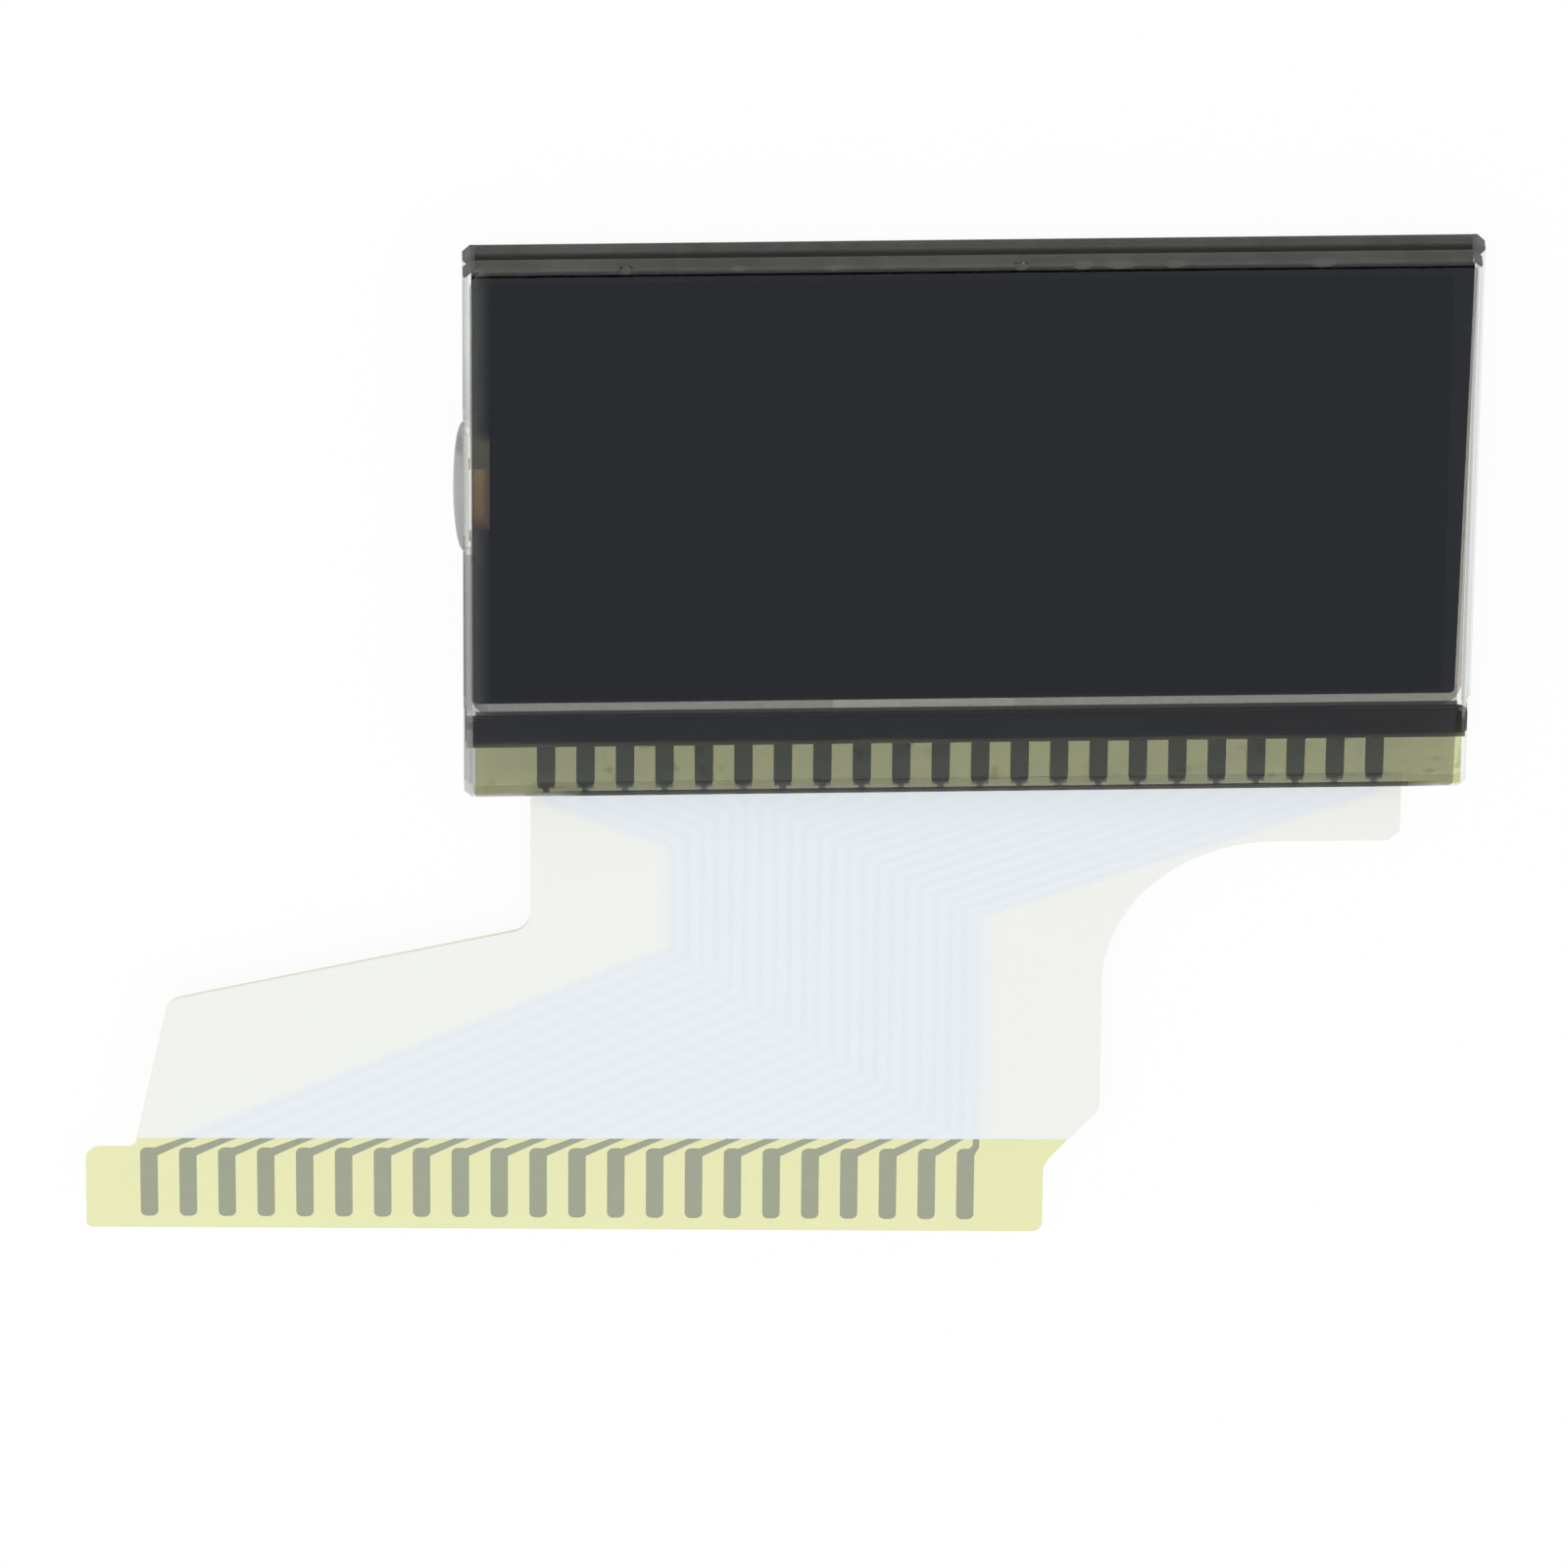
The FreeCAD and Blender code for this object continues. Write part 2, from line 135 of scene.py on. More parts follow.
# Films of the ribbon: share seen through, and the band where the cover film clears under the glass
BASE_FILM_SEE = 0.8
BASE_FILM_SKIN = 0.01 * MM
COVER_SEE = 0.04
COVER_SEE_GLASS = 0.92
COVER_CLEAR_START = 0.25 * MM
COVER_CLEAR_END = 0.12 * MM
COVER_SKIN = 0.004 * MM

WHITE = (1.0, 1.0, 1.0, 1.0)

Cell = namedtuple("Cell", "middle_z step top face_z squeezes drop")


def rgb(red, green, blue):
    return (red, green, blue, 1.0)


class Material:
    """A node material, built up by small helpers that return output sockets."""

    def __init__(self, name):
        self.data = bpy.data.materials.new(name)
        self.data.use_nodes = True
        self.tree = self.data.node_tree
        self.tree.nodes.clear()
        self.out = self.tree.nodes.new("ShaderNodeOutputMaterial")

    def node(self, kind, inputs=None, **settings):
        made = self.tree.nodes.new(kind)
        for key, value in settings.items():
            setattr(made, key, value)
        for key, value in (inputs or {}).items():
            self.feed(made.inputs[key], value)
        return made

    def feed(self, socket, value):
        if isinstance(value, bpy.types.NodeSocket):
            self.tree.links.new(value, socket)
        else:
            socket.default_value = value

    def finish(self, surface):
        self.tree.links.new(surface, self.out.inputs["Surface"])
        return self.data

    def place(self):
        return self.node("ShaderNodeTexCoord").outputs["Object"]

    def axis(self, name):
        return self.node("ShaderNodeSeparateXYZ", {0: self.place()}).outputs[name]

    def scaled(self, scale):
        mapping = self.node("ShaderNodeMapping", {"Vector": self.place(), "Scale": scale})
        return mapping.outputs[0]

    def slope(self, name):
        """Size of the surface normal along one axis."""
        normal = self.node("ShaderNodeNewGeometry").outputs["True Normal"]
        return self.math("ABSOLUTE", self.node("ShaderNodeSeparateXYZ", {0: normal}).outputs[name])

    def ray(self, *names):
        """1 for the named kinds of ray, else 0."""
        path = self.node("ShaderNodeLightPath")
        total = path.outputs[names[0]]
        for name in names[1:]:
            total = self.math("MAXIMUM", total, path.outputs[name])
        return total

    def noise(self, scale, detail=2.0, vector=None):
        inputs = {"Vector": vector or self.place(), "Scale": scale, "Detail": detail}
        return self.node("ShaderNodeTexNoise", inputs).outputs["Fac"]

    def mixed_noise(self, first, second, first_share=0.5):
        """Two noises added up, each with its share."""
        part = self.math("MULTIPLY", first, first_share)
        return self.math("ADD", part, self.math("MULTIPLY", second, 1.0 - first_share))

    def math(self, operation, a, b=0.0):
        return self.node("ShaderNodeMath", {0: a, 1: b}, operation=operation).outputs[0]

    def spread(self, value, low, high, to_low, to_high):
        inputs = {"Value": value, 1: low, 2: high, 3: to_low, 4: to_high}
        return self.node("ShaderNodeMapRange", inputs).outputs[0]

    def over(self, value, limit):
        """1 where a number is over a limit, else 0."""
        return self.math("GREATER_THAN", value, limit)

    def between(self, value, low, high):
        return self.both(self.over(value, low), self.over(high, value))

    def within(self, box):
        """1 inside a box as seen from above, else 0."""
        (x0, y0, _), (x1, y1, _) = box
        return self.both(self.between(self.axis("X"), x0, x1), self.between(self.axis("Y"), y0, y1))

    def away(self, value, middle):
        return self.math("ABSOLUTE", self.math("SUBTRACT", value, middle))

    def both(self, *shares):
        total = shares[0]
        for share in shares[1:]:
            total = self.math("MULTIPLY", total, share)
        return total

    def larger(self, a, b):
        return self.math("MAXIMUM", a, b)

    def smaller(self, a, b):
        return self.math("MINIMUM", a, b)

    def flip(self, share):
        return self.math("SUBTRACT", 1.0, share)

    def pick(self, share, a, b):
        """Number a where the share is 0, and b where it is 1."""
        return self.node("ShaderNodeMix", {0: share, 2: a, 3: b}, data_type="FLOAT").outputs[0]

    def blend(self, share, a, b):
        """Colour a where the share is 0, and b where it is 1."""
        return self.node("ShaderNodeMix", {0: share, 6: a, 7: b}, data_type="RGBA").outputs[2]

    def either(self, share, a, b):
        """Surface a where the share is 0, and b where it is 1."""
        return self.node("ShaderNodeMixShader", {0: share, 1: a, 2: b}).outputs[0]

    def bump(self, height, strength, distance):
        inputs = {"Height": height, "Strength": strength, "Distance": distance}
        return self.node("ShaderNodeBump", inputs).outputs[0]

    def plain(self, color, roughness, normal=None, specular=0.5):
        inputs = {"Base Color": color, "Roughness": roughness, "Specular IOR Level": specular}
        if normal is not None:
            inputs["Normal"] = normal
        return self.node("ShaderNodeBsdfPrincipled", inputs).outputs[0]

    def dull(self, color):
        return self.node("ShaderNodeBsdfDiffuse", {"Color": color}).outputs[0]

    def glossy(self, color, roughness, normal=None):
        inputs = {"Color": color, "Roughness": roughness}
        if normal is not None:
            inputs["Normal"] = normal
        return self.node("ShaderNodeBsdfGlossy", inputs).outputs[0]

    def fresnel(self, index):
        return self.node("ShaderNodeFresnel", {"IOR": index}).outputs[0]

    def clear(self, color):
        return self.node("ShaderNodeBsdfTransparent", {"Color": color}).outputs[0]

    def bent(self, color, index):
        """Light that goes through and is bent, without a mirror image."""
        inputs = {"Color": color, "Roughness": 0.0, "IOR": index}
        return self.node("ShaderNodeBsdfRefraction", inputs).outputs[0]

    def glass(self, color, index):
        inputs = {"Color": color, "Roughness": 0.0, "IOR": index}
        return self.node("ShaderNodeBsdfGlass", inputs).outputs[0]


def chip_zone(m, cell):
    """1 on the chips along the front top edge."""
    back = m.math("SUBTRACT", cell.top, m.axis("Y"))
    down = m.math("SUBTRACT", cell.face_z, m.axis("Z"))
    cut = m.math("ADD", back, down)
    chip = m.both(m.over(back, CHIP_DEPTH), m.over(down, CHIP_DEPTH), m.over(cut, CHIP_BEVEL))
    return m.both(chip, m.over(CHIP_REACH, cut), m.over(m.slope("Z"), CHIP_NORMAL))


def edge_pass(m, end_face, chip, wet, glued, corner):
    """Share of light that a ground edge lets past: each side has its own."""
    y = m.axis("Y")
    left_pass = m.spread(y, DULL_BELOW, CLEAR_ABOVE, DULL_SIDE_PASS, CLEAR_SIDE_PASS)
    left_pass = m.pick(glued, left_pass, GLUED_SIDE_PASS)
    side_pass = m.pick(m.over(m.axis("X"), 0.0), left_pass, RIGHT_SIDE_PASS)
    foot_pass = m.pick(wet, DRY_FOOT_PASS, WET_FOOT_PASS)
    foot_pass = m.pick(corner, foot_pass, FOOT_CORNER_PASS)
    top_pass = m.pick(corner, m.pick(chip, TOP_PASS, CHIP_PASS), TOP_CORNER_PASS)
    end_pass = m.pick(m.over(0.0, y), top_pass, foot_pass)
    return m.pick(end_face, side_pass, end_pass)


def ground_edge(m, cell, wet, glued, corner):
    """Ground cut edges: grey and half clear, with painted shade in the groove at the seam and on the clipped
    corners, and brighter chips along the top.
    """
    ribs = m.noise(900.0, 4.0, m.scaled((1.0, 1.0, 0.3)))
    patches = m.noise(140.0, 3.0, m.scaled((1.0, 1.0, 2.0)))
    tone = m.spread(m.mixed_noise(ribs, patches), 0.35, 0.65, 0.0, 1.0)
    grey = m.blend(tone, rgb(0.14, 0.14, 0.128), rgb(0.20, 0.198, 0.182))
    end_face = m.over(m.slope("Y"), END_NORMAL)
    # Painted shade in the groove between the plates, on the end faces near the cell's middle.
    groove_shade = m.spread(m.away(m.axis("Z"), cell.middle_z), SEAM_DARK, SEAM_CLEAR, 1.0, 0.0)
    grey = m.blend(m.both(groove_shade, end_face), grey, rgb(0.06, 0.06, 0.054))
    chip = chip_zone(m, cell)
    grey = m.blend(chip, grey, rgb(0.165, 0.162, 0.154))
    # Painted shade: the clipped corners catch more light from above, so their end faces get a darker grey.
    grey = m.blend(m.both(corner, end_face), grey, rgb(0.10, 0.10, 0.094))
    foot_face = m.both(end_face, m.over(0.0, m.axis("Y")))
    grey = m.blend(foot_face, grey, rgb(0.15, 0.12, 0.075))
    solid = m.plain(grey, 0.5, m.bump(ribs, 0.4, 0.04 * MM), specular=0.15)
    share = edge_pass(m, end_face, chip, wet, glued, corner)
    return m.either(share, solid, m.clear(rgb(0.95, 0.957, 0.945)))


def margin_haze(m, film, step, open_edge):
    """Share of dull grey on the bare margins: left it grows towards the foot, right it fades outwards."""
    x, y = m.axis("X"), m.axis("Y")
    (film_left, _, _), (film_right, film_top, _) = film
    on_ledge = m.over(step, y)
    left = m.spread(y, DULL_BELOW, CLEAR_ABOVE, HAZE_LEFT_FOOT, HAZE_LEFT_HEAD)
    left = m.both(m.pick(on_ledge, left, HAZE_LEDGE), m.over(film_left, x), open_edge)
    right = m.spread(x, film_right, film_right + HAZE_RIGHT_REACH, HAZE_RIGHT, 0.0)
    right = m.both(right, m.over(x, film_right), m.flip(on_ledge))
    top = m.both(m.over(y, film_top), HAZE_TOP)
    return m.larger(top, m.larger(left, right))


def wet_zone(m, cell):
    """Share of the foot edge that adhesive has made clear: at both ends and on the inner bevel."""
    x = m.axis("X")
    left, right = cell.squeezes
    wet = m.larger(m.spread(x, left - WET_LEFT_REACH, left, 1.0, 0.0),
                   m.spread(x, right - WET_RIGHT_OUT, right + WET_RIGHT_IN, 0.0, 1.0))
    wet = m.larger(wet, m.over(m.slope("Z"), RIM_NORMAL))
    return m.both(wet, m.over(m.axis("Z"), cell.middle_z))


def flat_glass(m, film, cell, glued):
    """Flat faces. One that a film or the other plate is bonded to mirrors nothing."""
    color = rgb(0.975, 0.988, 0.98)
    flat = m.either(m.within(film), m.glass(color, REFRACTIVE_INDEX), m.bent(color, REFRACTIVE_INDEX))
    near_cell = m.over(INNER_FACE_REACH, m.away(m.axis("Z"), cell.middle_z))
    flat = m.either(m.both(near_cell, m.over(m.axis("Y"), cell.step)), flat, m.clear(WHITE))
    flat = m.either(m.ray("Is Shadow Ray", "Is Diffuse Ray"), flat, m.clear(rgb(0.95, 0.97, 0.96)))
    haze = margin_haze(m, film, cell.step, m.flip(glued))
    return m.either(haze, flat, m.plain(rgb(0.36, 0.36, 0.365), 0.6))


def glass_material(name, film, cell):
    """Clear plate glass with ground edges."""
    m = Material(name)
    x = m.axis("X")
    glued = m.between(m.axis("Y"), cell.drop[0][1], cell.drop[1][1])
    corner = m.larger(m.over(film[0][0] + CORNER_REACH, x), m.over(x, film[1][0] - CORNER_REACH))
    flat = flat_glass(m, film, cell, glued)
    ground = ground_edge(m, cell, wet_zone(m, cell), glued, corner)
    return m.finish(m.either(m.over(FLAT_NORMAL, m.slope("Z")), flat, ground))


def front_polarizer_material(top):
    """Grey film, seen through, with a faint mottled gloss on its outer face only."""
    m = Material("front_polarizer_film")
    p = FRONT_FILM_PASS
    cloud = m.spread(m.noise(55.0), 0.35, 0.65, 0.0, 1.0)
    tint = m.blend(cloud, rgb(p * 0.988, p * 0.985, p), rgb(p, p, p * 0.985))
    film = m.either(m.ray("Is Shadow Ray", "Is Diffuse Ray"), m.bent(tint, 1.0), m.clear(tint))
    haze = m.spread(m.noise(70.0, 4.0), 0.3, 0.7, 0.04, 0.09)
    wave = m.bump(m.noise(35.0, 1.0), 0.02, 0.3 * MM)
    gloss = m.glossy(rgb(0.80, 0.84, 0.96), haze, wave)
    share = m.both(m.fresnel(FRONT_FILM_INDEX), m.over(m.axis("Z"), top - FRONT_FILM_SKIN))
    return m.finish(m.either(share, film, gloss))


def rear_polarizer_material(middle):
    """Near-black film: dull where it is bonded to the glass, smooth with fine handling marks behind."""
    m = Material("rear_polarizer_film")
    marks = m.noise(400.0, 5.0, m.scaled((1.0, 0.12, 1.0)))
    rough = m.spread(marks, 0.35, 0.7, 0.16, 0.34)
    color = m.blend(m.noise(60.0), rgb(0.007, 0.007, 0.009), rgb(0.012, 0.011, 0.013))
    outer = m.plain(color, rough, m.bump(marks, 0.08, 0.02 * MM), specular=0.4)
    return m.finish(m.either(m.over(m.axis("Z"), middle), outer, m.dull(color)))


def liquid_crystal_material():
    m = Material("liquid_crystal_fluid")
    tint = m.blend(m.noise(40.0, 1.0), rgb(0.96, 0.965, 0.98), rgb(0.98, 0.98, 0.985))
    return m.finish(m.clear(tint))


def seal_material(left, port_high):
    """Hazy grey epoxy that passes light from behind, dullest on the left, stained beside the port."""
    m = Material("seal_epoxy")
    x, y = m.axis("X"), m.axis("Y")
    grain = m.noise(1500.0, 3.0)
    stain = m.spread(y, port_high + STAIN_LENGTH, port_high + STAIN_FULL * STAIN_LENGTH, 0.0, 1.0)
    stain = m.both(stain, m.over(y, port_high), m.over(left + STAIN_REACH, x))
    color = m.blend(grain, rgb(0.34, 0.34, 0.315), rgb(0.43, 0.428, 0.395))
    color = m.blend(stain, color, rgb(0.66, 0.585, 0.44))
    clear = m.clear(m.blend(grain, rgb(0.70, 0.68, 0.645), rgb(0.745, 0.72, 0.69)))
    solid = m.either(m.ray("Is Shadow Ray"), m.plain(color, 0.7, specular=0.0), clear)
    share = m.spread(x, left + SEAL_FADE_START, left + SEAL_FADE_END, SEAL_HAZY, SEAL_CLEAR_SHARE)
    return m.finish(m.either(m.pick(stain, share, STAIN_SHARE), clear, solid))


def milky_glue(m, cloud, low, high):
    """Colour of the proud part of the drop, with a painted glint as its highlight and one darker spot near
    its head.
    """
    y = m.axis("Y")
    milky = m.blend(cloud, rgb(0.27, 0.27, 0.26), rgb(0.36, 0.36, 0.345))
    # Painted highlight: a bluish-white glint across the middle of the drop.
    glint = m.spread(m.away(y, (low + high) / 2), GLINT_CORE, GLINT_REACH, 0.7, 0.0)
    milky = m.blend(glint, milky, rgb(0.38, 0.385, 0.42))
    # A darker spot near the head of the drop.
    dark_spot = m.spread(m.away(y, high - DARK_SPOT_FROM_HEAD), DARK_SPOT_CORE, DARK_SPOT_REACH, 0.8, 0.0)
    return m.blend(dark_spot, milky, rgb(0.10, 0.10, 0.095))


def amber_glue(m, left, port_low, port_high):
    """Colour of the glue in the port: amber made bright to stand in for light carried in through the glue
    from outside, which is painted light, with painted shade darkening it at its lower end and inwards.
    """
    x, y = m.axis("X"), m.axis("Y")
    along = m.spread(y, port_low, port_high, 0.0, 1.0)
    amber = m.blend(along, rgb(0.46, 0.25, 0.14), rgb(0.60, 0.41, 0.18))
    shade = m.spread(y, port_low, port_low + PORT_SHADE_LENGTH, 1.0, 0.0)
    # Painted shade: darker inwards, away from the outer edge where light comes into the glue.
    fade = m.spread(x, left + AMBER_FADE_START, left + AMBER_FADE_END, 0.0, 0.8)
    return m.blend(m.larger(shade, fade), amber, rgb(0.11, 0.10, 0.085))


def plug_material(left, low, high):
    """Cured glue: milky where it stands proud, and amber deep in the port."""
    m = Material("port_glue")
    x = m.axis("X")
    cloud = m.noise(900.0, 3.0)
    milky = milky_glue(m, cloud, low, high)
    amber = amber_glue(m, left, low + PORT_FROM_FOOT, high - PORT_FROM_HEAD)
    deep = m.spread(x, left + AMBER_START, left + AMBER_FULL, 0.0, 1.0)
    body = m.plain(m.blend(deep, milky, amber), 0.2, m.bump(cloud, 0.1, 0.03 * MM))
    proud_see = m.spread(x, left - 0.04 * MM, left + 0.06 * MM, 0.45, 0.9)
    see = m.larger(m.pick(deep, proud_see, 0.0), m.both(deep, m.ray("Is Shadow Ray")))
    return m.finish(m.either(see, body, m.clear(rgb(0.90, 0.90, 0.88))))


def sealant_material(tip):
    """Black silicone that thins out at its tip."""
    m = Material("black_silicone")
    lumps = m.noise(420.0, 3.0)
    color = m.blend(lumps, rgb(0.032, 0.028, 0.021), rgb(0.06, 0.054, 0.042))
    wavy = m.math("ADD", m.axis("Y"), m.math("MULTIPLY", m.noise(160.0), BEAD_WAVE))
    thin = m.spread(wavy, tip + BEAD_THIN, tip + BEAD_FULL, 0.8, 0.0)
    rough = m.spread(lumps, 0.3, 0.7, 0.38, 0.6)
    solid = m.plain(color, rough, m.bump(lumps, 0.25, 0.05 * MM))
    return m.finish(m.either(thin, solid, m.clear(rgb(0.70, 0.68, 0.54))))


def ink(m):
    """Printed grey conductive ink. Two touching faces carry it, so it casts no shadow on itself."""
    grain = m.noise(2600.0, 4.0)
    tone = m.mixed_noise(grain, m.noise(150.0))
    color = m.blend(tone, rgb(0.285, 0.30, 0.215), rgb(0.355, 0.37, 0.28))
    solid = m.plain(color, 0.5, m.bump(grain, 0.15, 0.01 * MM), specular=0.4)
    return m.either(m.ray("Is Shadow Ray", "Is Diffuse Ray"), solid, m.clear(WHITE))


def conductor_material():
    m = Material("printed_conductor")
    return m.finish(ink(m))


def adhesive_material(name, tint, ink_z, pale_rim=False):
    """Clear adhesive with fine bubbles, which shows the ink where it lies on it."""
    m = Material(name)
    spots = m.spread(m.noise(1100.0), 0.62, 0.7, 0.0, 1.0)
    color = m.blend(spots, tint, rgb(0.86, 0.85, 0.80))
    share = m.math("MULTIPLY", m.fresnel(1.3), 0.5)
    clear = m.either(share, m.clear(color), m.glossy(WHITE, 0.12))
    if pale_rim:
        rim = m.over(RIM_NORMAL, m.slope("Z"))
        clear = m.either(rim, clear, m.plain(rgb(0.82, 0.83, 0.80), 0.5))
    near_ink = m.over(INK_FACE_REACH, m.away(m.axis("Z"), ink_z))
    on_ink = m.both(m.over(m.slope("Z"), FLAT_INK_NORMAL), near_ink)
    return m.finish(m.either(on_ink, clear, ink(m)))


def ledge_row():
    """Middles of the first and last pads on the ledge."""
    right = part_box("conductor_22")[1][0] - PAD_HALF
    return right - (CONTACT_COUNT - 1) * CONTACT_PITCH, right


def pad_image_zone(m, foot, top):
    """1 on the film's top face in the pad columns between the ledge pads and the foot of the glass, where a
    painted reflection of the pads is laid.
    """
    x, y = m.axis("X"), m.axis("Y")
    left, right = ledge_row()
    half_pitch = CONTACT_PITCH / 2
    off_pad = m.math("PINGPONG", m.math("SUBTRACT", right, x), half_pitch)
    column = m.spread(off_pad, PAD_HALF - PAD_IMAGE_BORDER, PAD_HALF, 1.0, 0.0)
    in_row = m.between(x, left - half_pitch, right + half_pitch)
    along = m.between(y, foot, foot + PAD_IMAGE_LENGTH)
    return m.both(column, in_row, along, m.over(m.axis("Z"), top - BASE_FILM_SKIN))


def base_film_material(rim_above, foot, top):
    """Yellow polymer film that light passes through."""
    m = Material("yellow_base_film")
    cloud = m.noise(70.0, 3.0)
    mix = m.mixed_noise(cloud, m.noise(2200.0), 0.7)
    body = m.blend(mix, rgb(0.77, 0.785, 0.47), rgb(0.82, 0.825, 0.54))
    tint = m.blend(mix, rgb(0.915, 0.917, 0.705), rgb(0.93, 0.932, 0.745))
    solid = m.plain(body, 0.32, m.bump(cloud, 0.06, 0.3 * MM), specular=0.25)
    film = m.either(BASE_FILM_SEE, solid, m.clear(tint))
    # Painted reflection: grey images of the pads, as the foot of the glass shows them bent, laid in line
    # with the pads.
    pad_image = m.both(pad_image_zone(m, foot, top), PAD_IMAGE_SHARE)
    film = m.either(pad_image, film, m.plain(rgb(0.235, 0.232, 0.195), 0.6))
    rim = m.both(m.over(RIM_NORMAL, m.slope("Z")), m.over(m.axis("Y"), rim_above))
    return m.finish(m.either(rim, film, m.clear(rgb(0.97, 0.97, 0.95))))


def trace_zone(m, first, foot):
    """1 where conductors run under the cover film, with soft borders along the outermost two."""
    x, y = m.axis("X"), m.axis("Y")
    bundle_left = first[1][0] - TRACE_HALF
    bundle_right = bundle_left + BUNDLE_WIDTH
    ledge_left, ledge_right = ledge_row()
    fan = m.math("SUBTRACT", foot - FAN_DROP, y)
    left = m.math("ADD", m.math("DIVIDE", fan, LEFT_FAN_SLOPE), ledge_left)
    left = m.smaller(m.larger(left, ledge_left), bundle_left)
    tail_fan = m.math("DIVIDE", m.math("SUBTRACT", y, first[0][1]), TAIL_FAN_SLOPE)
    left = m.smaller(left, m.math("ADD", tail_fan, first[0][0] - TAIL_FAN_OFFSET))
    right = m.math("SUBTRACT", ledge_right, m.math("DIVIDE", fan, RIGHT_FAN_SLOPE))
    right = m.larger(m.smaller(right, ledge_right), bundle_right)
    depth = m.smaller(m.math("SUBTRACT", x, left), m.math("SUBTRACT", right, x))
    return m.spread(depth, -ZONE_BORDER_OUT, ZONE_BORDER_IN, 0.0, 1.0)


def coverlay_material(top, foot, first):
    """Milky cover film: its outer face carries the white, and the traces show through faintly."""
    m = Material("milky_cover_film")
    white = m.blend(m.noise(60.0, 3.0), rgb(0.82, 0.829, 0.797), rgb(0.83, 0.836, 0.808))
    white = m.blend(trace_zone(m, first, foot), white, rgb(0.765, 0.802, 0.84))
    skin = m.plain(white, 0.42, m.bump(m.noise(1800.0), 0.05, 0.03 * MM), specular=0.3)
    see = m.spread(m.axis("Y"), foot - COVER_CLEAR_START, foot - COVER_CLEAR_END, COVER_SEE, COVER_SEE_GLASS)
    skin = m.either(see, skin, m.clear(rgb(0.97, 0.98, 1.0)))
    outer = m.larger(m.over(m.axis("Z"), top - COVER_SKIN), m.over(RIM_NORMAL, m.slope("Z")))
    return m.finish(m.either(outer, m.clear(rgb(0.99, 0.99, 0.99)), skin))


def floor_material():
    """White table that shows white to the eye and through glass, and keeps the shadow."""
    m = Material("table")
    glow = m.node("ShaderNodeEmission", {"Color": WHITE, "Strength": 1.0}).outputs[0]
    seen = m.ray("Is Camera Ray", "Is Glossy Ray", "Is Transmission Ray")
    return m.finish(m.either(m.math("MULTIPLY", seen, FLOOR_GLOW), m.dull(rgb(0.90, 0.90, 0.90)), glow))


def glass_materials():
    """One finish for each plate, set from the places of its neighbours."""
    fluid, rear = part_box("liquid_crystal"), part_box("rear_glass")
    cell = Cell(
        middle_z=(fluid[0][2] + fluid[1][2]) / 2,
        step=rear[0][1],
        top=rear[1][1],
        face_z=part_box("front_glass")[1][2],
        squeezes=(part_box("bond_squeeze_left")[1][0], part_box("bond_squeeze_right")[0][0]),
        drop=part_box("end_seal_plug"),
    )
    return {
        "front_glass": glass_material("front_glass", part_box("front_polarizer"), cell),
        "rear_glass": glass_material("rear_glass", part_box("rear_polarizer"), cell),
    }


def cell_materials():
    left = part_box("rear_glass")[0][0]
    plug_low, plug_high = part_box("end_seal_plug")[0][1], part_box("end_seal_plug")[1][1]
    rear_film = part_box("rear_polarizer")
    return {
        "perimeter_seal": seal_material(left, plug_high - PORT_FROM_HEAD),
        "liquid_crystal": liquid_crystal_material(),
        "end_seal_plug": plug_material(left, plug_low, plug_high),
        "front_polarizer": front_polarizer_material(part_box("front_polarizer")[1][2]),
        "rear_polarizer": rear_polarizer_material((rear_film[0][2] + rear_film[1][2]) / 2),
        "step_sealant": sealant_material(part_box("step_sealant")[0][1]),
    }


def ribbon_materials():
    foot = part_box("front_glass")[0][1]
    cover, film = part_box("coverlay_film"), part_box("ribbon_base_film")
    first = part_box("conductor_01")
    ink_z = first[1][2]
    pale, yellowish = rgb(0.985, 0.985, 0.97), rgb(0.975, 0.975, 0.95)
    return {
        "ribbon_base_film": base_film_material(cover[0][1], foot, film[1][2]),
        "coverlay_adhesive": adhesive_material("cover_adhesive", pale, ink_z, pale_rim=True),
        "coverlay_film": coverlay_material(cover[1][2], foot, first),
        "bond_adhesive": adhesive_material("bond_strip", yellowish, ink_z),
        "bond_squeeze_left": adhesive_material("squeeze_left", rgb(0.95, 0.94, 0.86), ink_z),
        "bond_squeeze_right": adhesive_material("squeeze_right", rgb(0.95, 0.94, 0.84), ink_z),
    }


def dress(nodes):
    """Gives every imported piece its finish. The conductors share one."""
    finishes = {**cell_materials(), **glass_materials(), **ribbon_materials()}
    conductor = conductor_material()
    for name, piece in nodes.items():
        piece.data.materials.clear()
        piece.data.materials.append(finishes.get(name, conductor))


def make_floor():
    half, z = FLOOR_SIZE / 2, -FLOOR_DROP
    corners = [(-half, -half, z), (half, -half, z), (half, half, z), (-half, half, z)]
    mesh = bpy.data.meshes.new("floor")
    mesh.from_pydata(corners, [], [(0, 1, 2, 3)])
    floor = bpy.data.objects.new("floor", mesh)
    bpy.context.collection.objects.link(floor)
    floor.data.materials.append(floor_material())


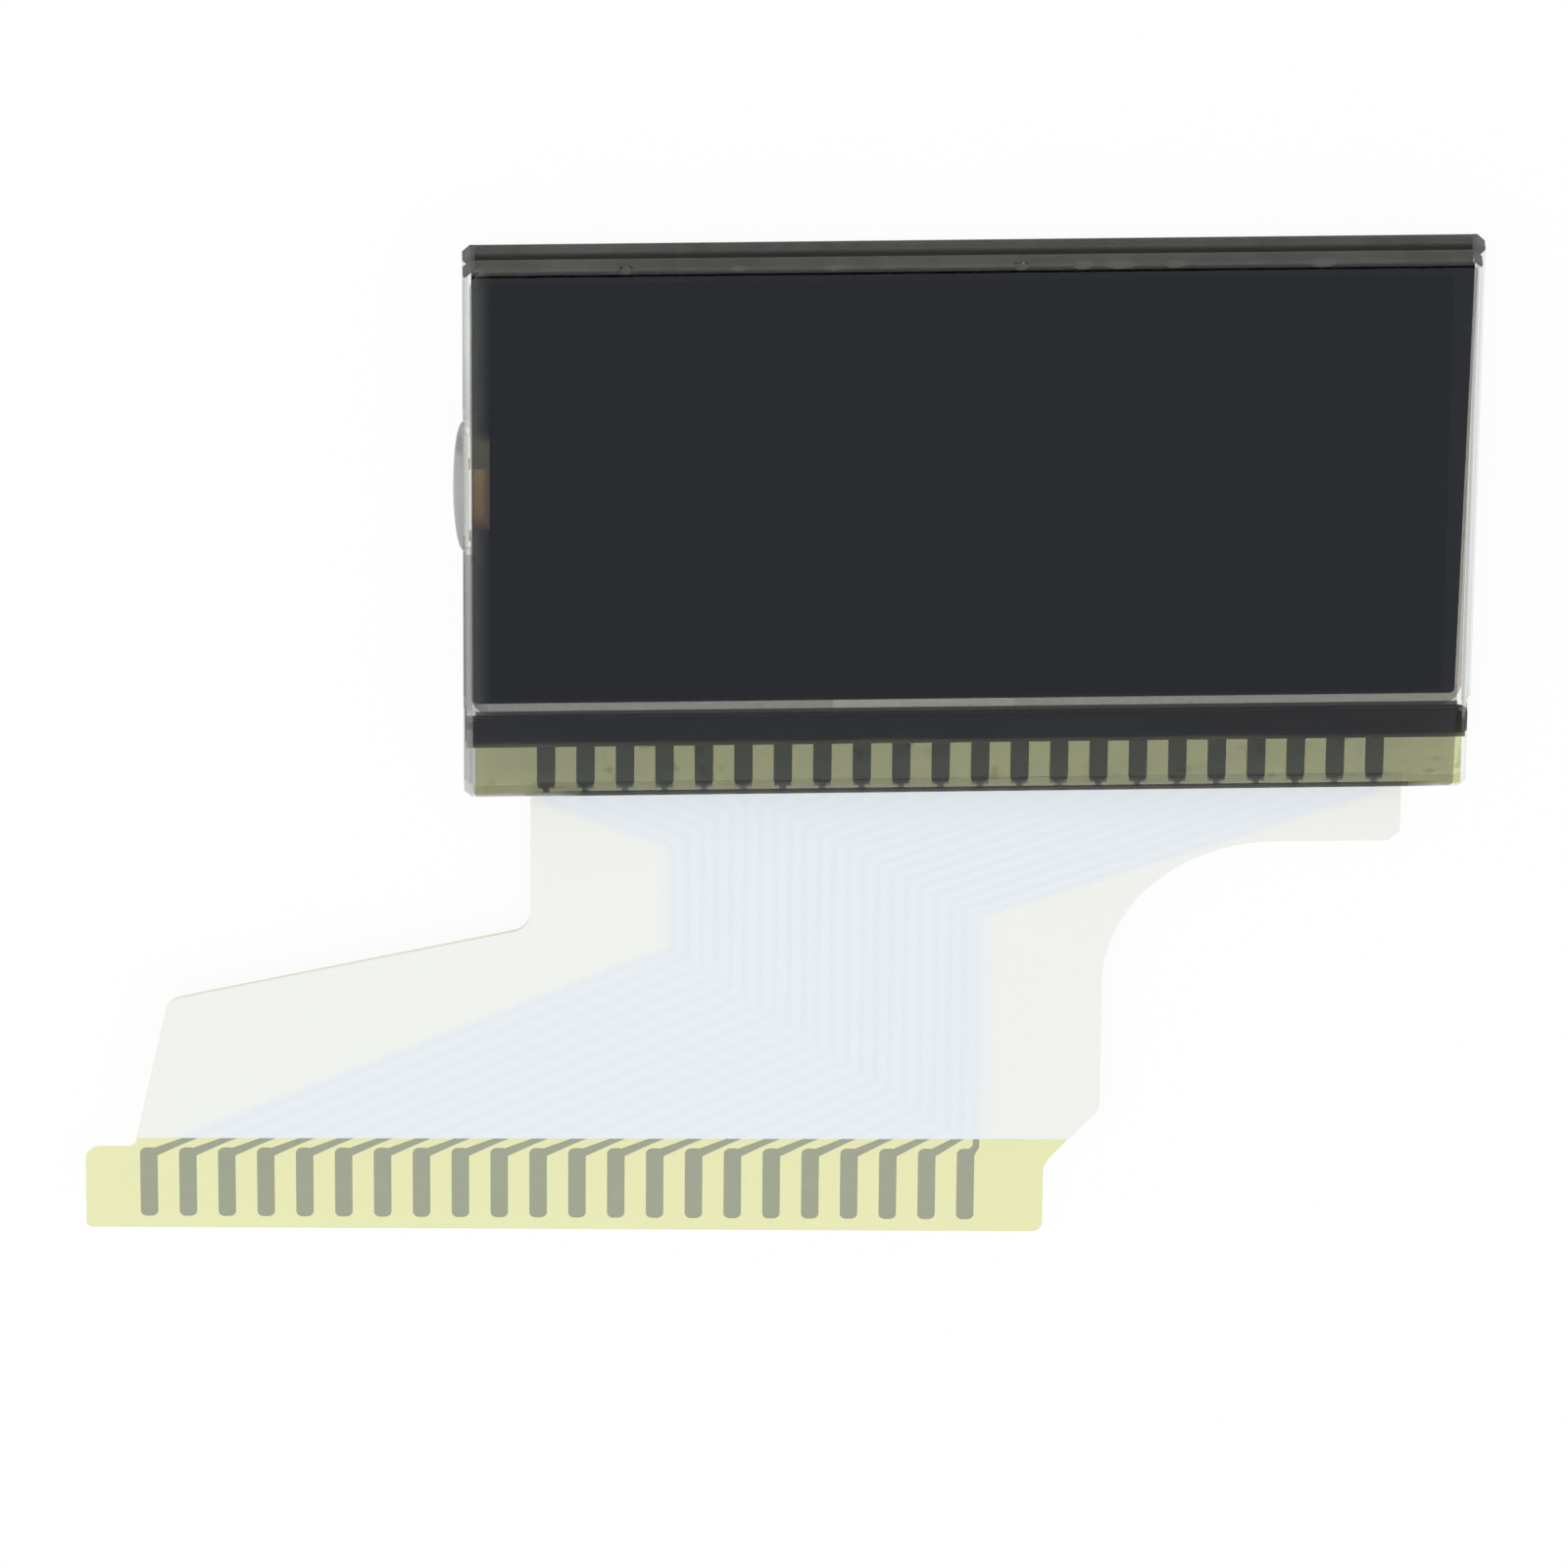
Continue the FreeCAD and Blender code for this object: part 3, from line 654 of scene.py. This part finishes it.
def make_world():
    world = bpy.data.worlds.new("studio")
    world.use_nodes = True
    background = world.node_tree.nodes["Background"]
    background.inputs["Color"].default_value = rgb(0.98, 0.99, 1.0)
    background.inputs["Strength"].default_value = WORLD_STRENGTH
    bpy.context.scene.world = world


def add_area(name, place, size, power):
    light = bpy.data.lights.new(name, "AREA")
    light.shape = "SQUARE"
    light.size = size
    light.energy = power
    lamp = bpy.data.objects.new(name, light)
    lamp.location = place
    lamp.rotation_euler = (-Vector(place)).to_track_quat("-Z", "Y").to_euler()
    bpy.context.collection.objects.link(lamp)


def make_lights():
    add_area("key", place=(-0.35, 0.15, 0.60), size=0.45, power=1.6)
    add_area("fill", place=(0.45, -0.30, 0.50), size=0.5, power=0.7)


def make_camera():
    lean, turn, roll = (math.radians(a) for a in (CAMERA_LEAN, CAMERA_TURN, CAMERA_ROLL))
    back = Vector((math.sin(turn), math.sin(lean) * math.cos(turn), math.cos(lean) * math.cos(turn)))
    up = Vector((0, 1, 0))
    up = (up - up.dot(back) * back).normalized()
    right = up.cross(back)
    side = math.cos(roll) * right - math.sin(roll) * up
    top = math.sin(roll) * right + math.cos(roll) * up
    data = bpy.data.cameras.new("camera")
    data.lens = CAMERA_LENS
    camera = bpy.data.objects.new("camera", data)
    rotation = Matrix((side, top, back)).transposed().to_4x4()
    camera.matrix_world = Matrix.Translation(CAMERA_AIM + back * CAMERA_DISTANCE) @ rotation
    bpy.context.collection.objects.link(camera)
    bpy.context.scene.camera = camera


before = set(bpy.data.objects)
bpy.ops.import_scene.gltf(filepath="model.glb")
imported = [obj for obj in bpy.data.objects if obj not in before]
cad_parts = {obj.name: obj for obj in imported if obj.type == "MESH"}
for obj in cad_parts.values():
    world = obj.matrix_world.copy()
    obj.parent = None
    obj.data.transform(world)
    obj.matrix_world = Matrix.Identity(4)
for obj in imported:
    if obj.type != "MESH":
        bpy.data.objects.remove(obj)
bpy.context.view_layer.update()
bpy.context.scene.view_settings.view_transform = "Standard"
dress(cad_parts)
make_floor()
make_world()
make_lights()
make_camera()
